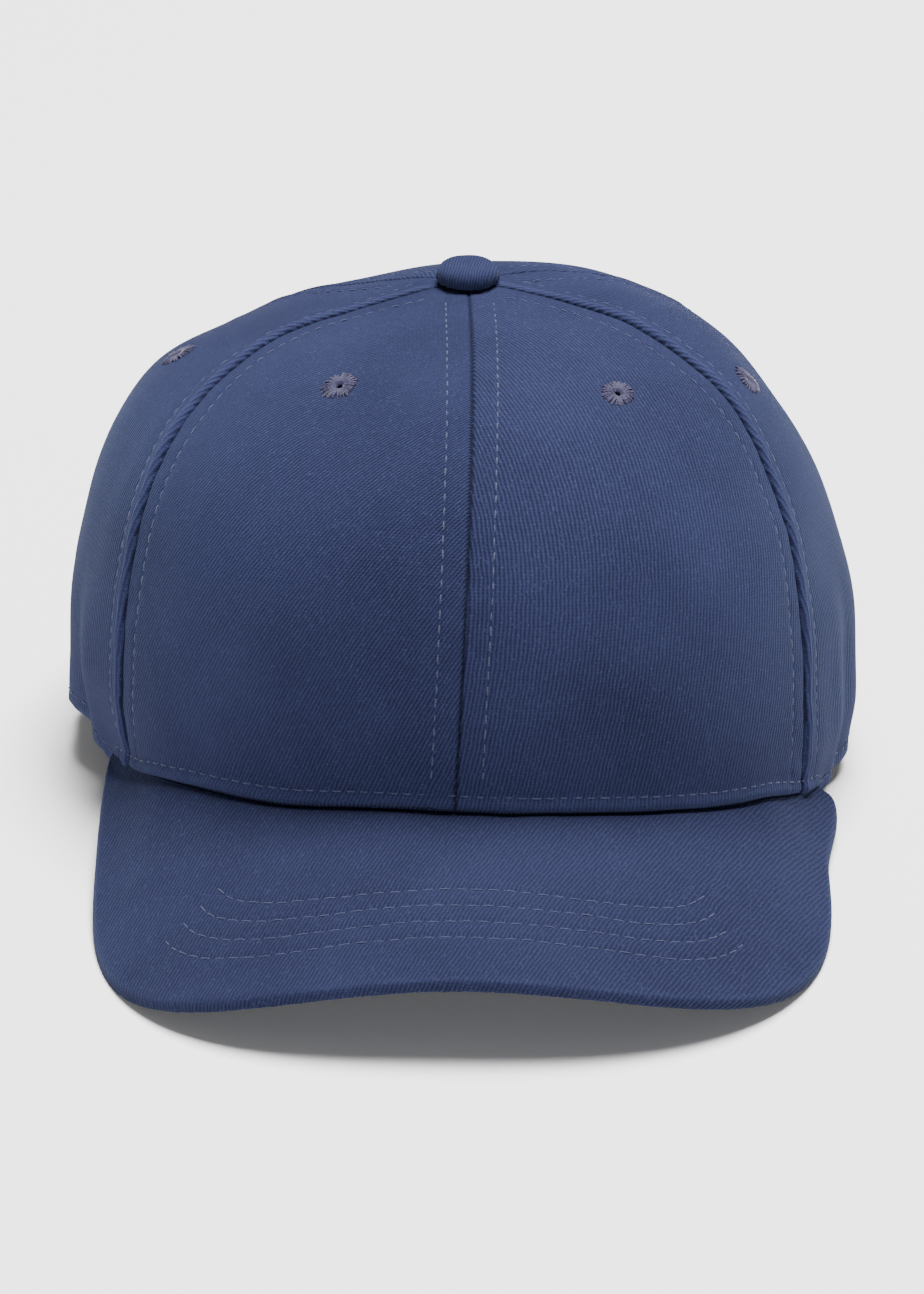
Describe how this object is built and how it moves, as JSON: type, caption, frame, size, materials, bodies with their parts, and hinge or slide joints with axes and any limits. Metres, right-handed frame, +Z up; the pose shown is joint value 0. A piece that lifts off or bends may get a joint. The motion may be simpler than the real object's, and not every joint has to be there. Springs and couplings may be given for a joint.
{
  "type": "baseball cap",
  "caption": "Low-profile cap of sewn twill panels with a curved stitched bill, vent eyelets, a covered top button, a sweatband and a back strap with a hinged clamp buckle.",
  "frame": {"origin": "centre of the rim's circle, on the plane that the cap stands on", "axes": "+Z up through the crown, -Y forward along the bill, +X to the wearer's left"},
  "size_m": [0.1952, 0.2621, 0.123],
  "materials": {
    "panel_twill": "washed cotton twill, diagonal weave, matt with a faint bloom on raised seams",
    "buckram": "open resin-stiffened canvas, matt",
    "seam_tape": "narrow cotton tape, matt",
    "binding_twill": "bias-cut cotton twill tape, matt",
    "button_twill": "cotton twill drawn tight over the button",
    "button_metal": "plain zinc-plated steel",
    "embroidery_thread": "rayon embroidery thread, satin",
    "sweatband_stiffener": "non-woven white stiffener, matt",
    "sweatband_twill": "soft cotton twill, matt",
    "bill_board": "flexible white polyethylene board",
    "bill_twill": "washed cotton twill, diagonal weave, matt",
    "sewing_thread": "spun polyester sewing thread, faint sheen",
    "strap_twill": "cotton twill folded in layers, matt",
    "buckle_metal": "aged brass, satin with rubbed edges",
    "pin_metal": "bright steel wire"
  },
  "bodies": {
    "cap": {"front_left_panel": "panel_twill", "front_right_panel": "panel_twill", "side_left_panel": "panel_twill", "side_right_panel": "panel_twill", "back_left_panel": "panel_twill", "back_right_panel": "panel_twill", "front_left_buckram": "buckram", "front_right_buckram": "buckram", "front_seam_tape": "seam_tape", "front_left_seam_tape": "seam_tape", "front_right_seam_tape": "seam_tape", "back_left_seam_tape": "seam_tape", "back_right_seam_tape": "seam_tape", "back_seam_tape": "seam_tape", "arch_binding": "binding_twill", "button_cover": "button_twill", "button_shell": "button_metal", "button_prong": "button_metal", "button_washer": "button_metal", "front_left_eyelet": "embroidery_thread", "front_right_eyelet": "embroidery_thread", "side_left_eyelet": "embroidery_thread", "side_right_eyelet": "embroidery_thread", "back_left_eyelet": "embroidery_thread", "back_right_eyelet": "embroidery_thread", "sweatband_stiffener": "sweatband_stiffener", "sweatband_cover": "sweatband_twill", "bill_board": "bill_board", "bill_top_cover": "bill_twill", "bill_bottom_cover": "bill_twill", "bill_stitching": "sewing_thread", "brim_topstitch": "sewing_thread", "panel_topstitch": "sewing_thread", "buckle_tab": "strap_twill", "buckle_frame": "buckle_metal", "buckle_pin": "pin_metal"},
    "strap": {"back_strap": "strap_twill", "strap_stitching": "sewing_thread"},
    "lever": {"buckle_lever": "buckle_metal"}
  },
  "joints": [
    {"name": "strap_adjust", "type": "hinge", "parent": "cap", "child": "strap", "pos_m": [0, 0, 0.0125], "axis": [0, 0, -1], "range_deg": [-5, 8]},
    {"name": "buckle_lever_hinge", "type": "hinge", "parent": "cap", "child": "lever", "pos_m": [0.01346, 0.09576, 0.0125], "axis": [0, 0, 1], "range_deg": [0, 100]}
  ]
}
